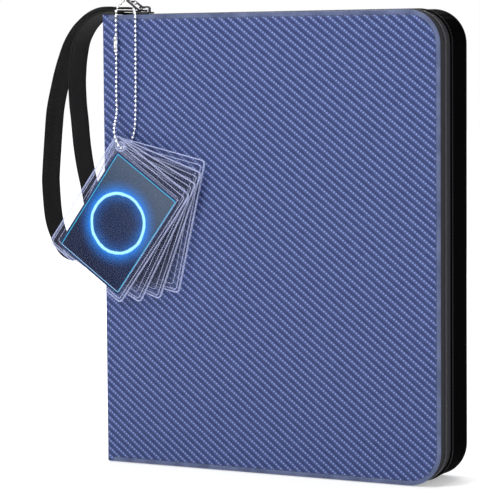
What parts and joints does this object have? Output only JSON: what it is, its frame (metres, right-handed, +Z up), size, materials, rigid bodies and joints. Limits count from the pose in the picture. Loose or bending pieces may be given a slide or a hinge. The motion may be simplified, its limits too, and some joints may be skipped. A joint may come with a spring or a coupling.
{
  "type": "trading card binder",
  "caption": "Zip-up ring binder for trading cards, with clear pocket pages, a wrist strap and a ball chain of clear card holders on the zip pull.",
  "frame": {"origin": "centre of the case's width and depth, on the bottom edge that it stands on", "axes": "+Z up along the spine, -Y out of the front cover, -X towards the spine, +X towards the fore edge"},
  "size_m": [0.3539, 0.0772, 0.3542],
  "materials": {
    "blue_twill": "textured coated fabric, satin",
    "board": "plain",
    "lining": "matt",
    "wall": "matt",
    "tape": "woven",
    "coil": "satin",
    "steel": "satin",
    "chrome": "polished",
    "gunmetal": "gloss",
    "black_plastic": "satin",
    "clear_page": "clear film",
    "clear_holder": "clear rigid film",
    "card": "coated card",
    "webbing": "woven"
  },
  "bodies": {
    "spine": {"spine_cover": "blue_twill", "spine_board": "board", "spine_lining": "lining", "ring_plate": "steel", "plate_rivet_lower": "steel", "plate_rivet_upper": "steel", "strap_tab": "wall", "wrist_strap": "webbing"},
    "front_half": {"front_cover": "blue_twill", "front_board": "board", "front_lining": "lining", "zip_tape_front": "tape", "zip_coil_front": "coil"},
    "back_half": {"back_cover": "blue_twill", "back_board": "board", "back_lining": "lining", "zip_tape_back": "tape", "zip_coil_back": "coil", "back_wall": "wall"},
    "ring_jaw_front": {"ring_blade_front": "steel", "ring_front_1": "chrome", "ring_front_2": "chrome", "ring_front_3": "chrome"},
    "ring_jaw_back": {"ring_blade_back": "steel", "ring_back_1": "chrome", "ring_back_2": "chrome", "ring_back_3": "chrome"},
    "upper_lever": {"lever_upper": "black_plastic"},
    "lower_lever": {"lever_lower": "black_plastic"},
    "slider": {"zip_slider": "gunmetal"},
    "pull": {"zip_pull": "gunmetal"},
    "chain": {"ball_chain_upper": "chrome", "ball_chain_lower": "chrome", "chain_connector": "chrome"},
    "page_front_1_body": {"page_front_1": "clear_page"},
    "page_front_2_body": {"page_front_2": "clear_page"},
    "page_front_3_body": {"page_front_3": "clear_page"},
    "page_front_4_body": {"page_front_4": "clear_page"},
    "page_front_5_body": {"page_front_5": "clear_page"},
    "page_back_1_body": {"page_back_1": "clear_page"},
    "page_back_2_body": {"page_back_2": "clear_page"},
    "page_back_3_body": {"page_back_3": "clear_page"},
    "page_back_4_body": {"page_back_4": "clear_page"},
    "page_back_5_body": {"page_back_5": "clear_page"},
    "holder_1": {"card_holder_1": "clear_holder"},
    "holder_2": {"card_holder_2": "clear_holder"},
    "holder_3": {"card_holder_3": "clear_holder"},
    "holder_4": {"card_holder_4": "clear_holder"},
    "card": {"display_card": "card"}
  },
  "joints": [
    {"name": "front_cover_hinge", "type": "hinge", "parent": "spine", "child": "front_half", "pos_m": [-0.136, -0.026, 0.17], "axis": [0, 0, -1], "range_deg": [0, 90]},
    {"name": "back_cover_hinge", "type": "hinge", "parent": "spine", "child": "back_half", "pos_m": [-0.136, 0.026, 0.17], "axis": [0, 0, 1], "range_deg": [0, 90]},
    {"name": "page_front_1_turn", "type": "hinge", "parent": "spine", "child": "page_front_1_body", "pos_m": [-0.1132, 0, 0.17], "axis": [0, 0, -1], "range_deg": [0, 90.5]},
    {"name": "page_front_2_turn", "type": "hinge", "parent": "spine", "child": "page_front_2_body", "pos_m": [-0.1132, 0, 0.17], "axis": [0, 0, -1], "range_deg": [0, 77.9]},
    {"name": "page_front_3_turn", "type": "hinge", "parent": "spine", "child": "page_front_3_body", "pos_m": [-0.1132, 0, 0.17], "axis": [0, 0, -1], "range_deg": [0, 65.3]},
    {"name": "page_front_4_turn", "type": "hinge", "parent": "spine", "child": "page_front_4_body", "pos_m": [-0.1132, 0, 0.17], "axis": [0, 0, -1], "range_deg": [0, 52.7]},
    {"name": "page_front_5_turn", "type": "hinge", "parent": "spine", "child": "page_front_5_body", "pos_m": [-0.1132, 0, 0.17], "axis": [0, 0, -1], "range_deg": [0, 40.1]},
    {"name": "page_back_1_turn", "type": "hinge", "parent": "spine", "child": "page_back_1_body", "pos_m": [-0.1132, 0, 0.17], "axis": [0, 0, 1], "range_deg": [0, 90.5]},
    {"name": "page_back_2_turn", "type": "hinge", "parent": "spine", "child": "page_back_2_body", "pos_m": [-0.1132, 0, 0.17], "axis": [0, 0, 1], "range_deg": [0, 77.9]},
    {"name": "page_back_3_turn", "type": "hinge", "parent": "spine", "child": "page_back_3_body", "pos_m": [-0.1132, 0, 0.17], "axis": [0, 0, 1], "range_deg": [0, 65.3]},
    {"name": "page_back_4_turn", "type": "hinge", "parent": "spine", "child": "page_back_4_body", "pos_m": [-0.1132, 0, 0.17], "axis": [0, 0, 1], "range_deg": [0, 52.7]},
    {"name": "page_back_5_turn", "type": "hinge", "parent": "spine", "child": "page_back_5_body", "pos_m": [-0.1132, 0, 0.17], "axis": [0, 0, 1], "range_deg": [0, 40.1]},
    {"name": "upper_lever_press", "type": "hinge", "parent": "spine", "child": "upper_lever", "pos_m": [-0.1291, 0, 0.3145], "axis": [0, -1, 0], "range_deg": [0, 12]},
    {"name": "lower_lever_press", "type": "hinge", "parent": "spine", "child": "lower_lever", "pos_m": [-0.1291, 0, 0.0255], "axis": [0, 1, 0], "range_deg": [0, 12.5]},
    {"name": "front_rings_open", "type": "hinge", "parent": "spine", "child": "ring_jaw_front", "pos_m": [-0.1301, -0.0109, 0.17], "axis": [0, 0, -1], "range_deg": [0, 8.5]},
    {"name": "back_rings_open", "type": "hinge", "parent": "spine", "child": "ring_jaw_back", "pos_m": [-0.1301, 0.0109, 0.17], "axis": [0, 0, 1], "range_deg": [0, 8.5]},
    {"name": "zip_slide", "type": "slide", "parent": "front_half", "child": "slider", "axis": [1, 0, 0], "range_m": [0, 0.205]},
    {"name": "pull_tip", "type": "hinge", "parent": "slider", "child": "pull", "pos_m": [-0.1075, -0.015, 0.34295], "axis": [0, 1, 0], "range_deg": [0, 50]},
    {"name": "chain_swing", "type": "hinge", "parent": "pull", "child": "chain", "pos_m": [-0.1174, -0.015, 0.3482], "axis": [0, 1, 0], "range_deg": [-4, 1]},
    {"name": "holder_1_swing", "type": "hinge", "parent": "chain", "child": "holder_1", "pos_m": [-0.1155, -0.0374, 0.241], "axis": [0, 1, 0], "range_deg": [-15, 15]},
    {"name": "holder_2_swing", "type": "hinge", "parent": "chain", "child": "holder_2", "pos_m": [-0.1155, -0.035, 0.241], "axis": [0, 1, 0], "range_deg": [-15, 15]},
    {"name": "holder_3_swing", "type": "hinge", "parent": "chain", "child": "holder_3", "pos_m": [-0.1155, -0.0326, 0.241], "axis": [0, 1, 0], "range_deg": [-15, 15]},
    {"name": "holder_4_swing", "type": "hinge", "parent": "chain", "child": "holder_4", "pos_m": [-0.1155, -0.0302, 0.241], "axis": [0, 1, 0], "range_deg": [-15, 15]},
    {"name": "card_slide", "type": "slide", "parent": "holder_1", "child": "card", "axis": [0.809, 0, -0.5878], "range_m": [0, 0.06]}
  ],
  "couplings": [
    {"joint": "page_front_1_turn", "follows": "front_cover_hinge", "ratio": 1},
    {"joint": "page_front_2_turn", "follows": "front_cover_hinge", "ratio": 0.86},
    {"joint": "page_front_3_turn", "follows": "front_cover_hinge", "ratio": 0.72},
    {"joint": "page_front_4_turn", "follows": "front_cover_hinge", "ratio": 0.58},
    {"joint": "page_front_5_turn", "follows": "front_cover_hinge", "ratio": 0.44},
    {"joint": "page_back_1_turn", "follows": "back_cover_hinge", "ratio": 1},
    {"joint": "page_back_2_turn", "follows": "back_cover_hinge", "ratio": 0.86},
    {"joint": "page_back_3_turn", "follows": "back_cover_hinge", "ratio": 0.72},
    {"joint": "page_back_4_turn", "follows": "back_cover_hinge", "ratio": 0.58},
    {"joint": "page_back_5_turn", "follows": "back_cover_hinge", "ratio": 0.44},
    {"joint": "lower_lever_press", "follows": "upper_lever_press", "ratio": 1},
    {"joint": "front_rings_open", "follows": "upper_lever_press", "ratio": 0.6667},
    {"joint": "back_rings_open", "follows": "upper_lever_press", "ratio": 0.6667}
  ]
}
